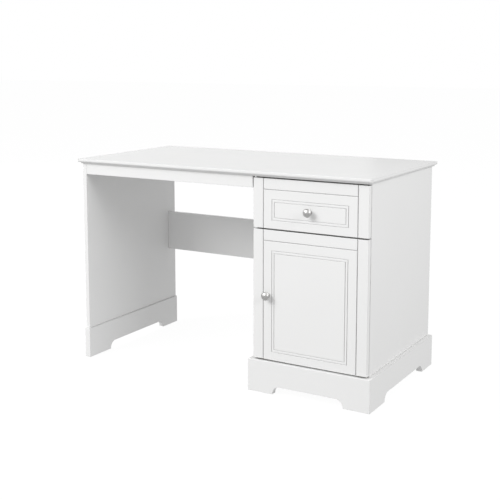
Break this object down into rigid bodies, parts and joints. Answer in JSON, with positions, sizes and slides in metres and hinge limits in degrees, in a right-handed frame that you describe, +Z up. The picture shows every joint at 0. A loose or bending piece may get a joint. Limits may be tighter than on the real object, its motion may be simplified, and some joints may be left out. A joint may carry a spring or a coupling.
{
  "type": "writing desk",
  "caption": "White lacquered pedestal writing desk: a moulded top on a side panel and a cabinet with a drawer above a door, bracket-foot plinths and mushroom knobs.",
  "frame": {"origin": "on the floor, at the centre of the outline of the whole desk with its knobs", "axes": "+X along the front to the right as seen by the person sitting at it, +Y from the front to the back, +Z up"},
  "size_m": [1.2, 0.613, 0.77],
  "materials": {
    "white_lacquer": "satin lacquer",
    "white_board": "matt melamine",
    "white_hardboard": "matt",
    "raw_wood": "raw beech",
    "satin_nickel": "satin nickel",
    "zinc_steel": "bright zinc plated",
    "cam_metal": "die cast",
    "glide_plastic": "matt",
    "bumper_rubber": "clear soft"
  },
  "bodies": {
    "desk_frame": {"desktop": "white_lacquer", "left_side_panel": "white_lacquer", "left_plinth_board": "white_lacquer", "front_apron": "white_lacquer", "apron_brackets": "zinc_steel", "apron_screws": "zinc_steel", "modesty_panel": "white_lacquer", "cabinet_left_side": "white_lacquer", "cabinet_right_side": "white_lacquer", "cabinet_bottom": "white_board", "cabinet_divider": "white_board", "front_top_rail": "white_board", "rear_top_rail": "white_board", "cabinet_back_panel": "white_hardboard", "back_panel_nails": "zinc_steel", "shelf": "white_board", "shelf_pins": "zinc_steel", "plinth_front": "white_lacquer", "plinth_left": "white_lacquer", "plinth_right": "white_lacquer", "plinth_back": "white_lacquer", "plinth_corner_blocks": "raw_wood", "floor_glides": "glide_plastic", "dowels": "raw_wood", "cam_locks": "cam_metal", "cam_bolts": "zinc_steel", "slide_outer_left": "zinc_steel", "slide_outer_right": "zinc_steel", "slide_outer_screws": "zinc_steel", "hinge_plates": "zinc_steel", "hinge_arms": "zinc_steel", "hinge_plate_screws": "zinc_steel"},
    "drawer": {"slide_inner_left": "zinc_steel", "slide_inner_right": "zinc_steel", "slide_inner_screws": "zinc_steel", "drawer_front": "white_lacquer", "drawer_left_side": "white_board", "drawer_right_side": "white_board", "drawer_box_front": "white_board", "drawer_box_back": "white_board", "drawer_bottom": "white_hardboard", "drawer_front_screws": "zinc_steel", "drawer_corner_screws": "zinc_steel", "drawer_knob": "satin_nickel", "drawer_knob_screw": "zinc_steel", "drawer_bumpers": "bumper_rubber"},
    "left_slide_middle": {"slide_middle_left": "zinc_steel"},
    "right_slide_middle": {"slide_middle_right": "zinc_steel"},
    "door": {"door": "white_lacquer", "door_knob": "satin_nickel", "door_knob_screw": "zinc_steel", "door_bumpers": "bumper_rubber", "hinge_cups": "zinc_steel", "hinge_cup_screws": "zinc_steel"}
  },
  "joints": [
    {"name": "drawer_slide", "type": "slide", "parent": "desk_frame", "child": "drawer", "axis": [0, -1, 0], "range_m": [0, 0.49]},
    {"name": "left_middle_rail_slide", "type": "slide", "parent": "desk_frame", "child": "left_slide_middle", "axis": [0, -1, 0], "range_m": [0, 0.245]},
    {"name": "right_middle_rail_slide", "type": "slide", "parent": "desk_frame", "child": "right_slide_middle", "axis": [0, -1, 0], "range_m": [0, 0.245]},
    {"name": "door_hinge", "type": "hinge", "parent": "desk_frame", "child": "door", "pos_m": [0.5775, -0.2735, 0.346], "axis": [0, 0, 1], "range_deg": [0, 105]}
  ],
  "couplings": [
    {"joint": "left_middle_rail_slide", "follows": "drawer_slide", "ratio": 0.5},
    {"joint": "right_middle_rail_slide", "follows": "drawer_slide", "ratio": 0.5}
  ]
}
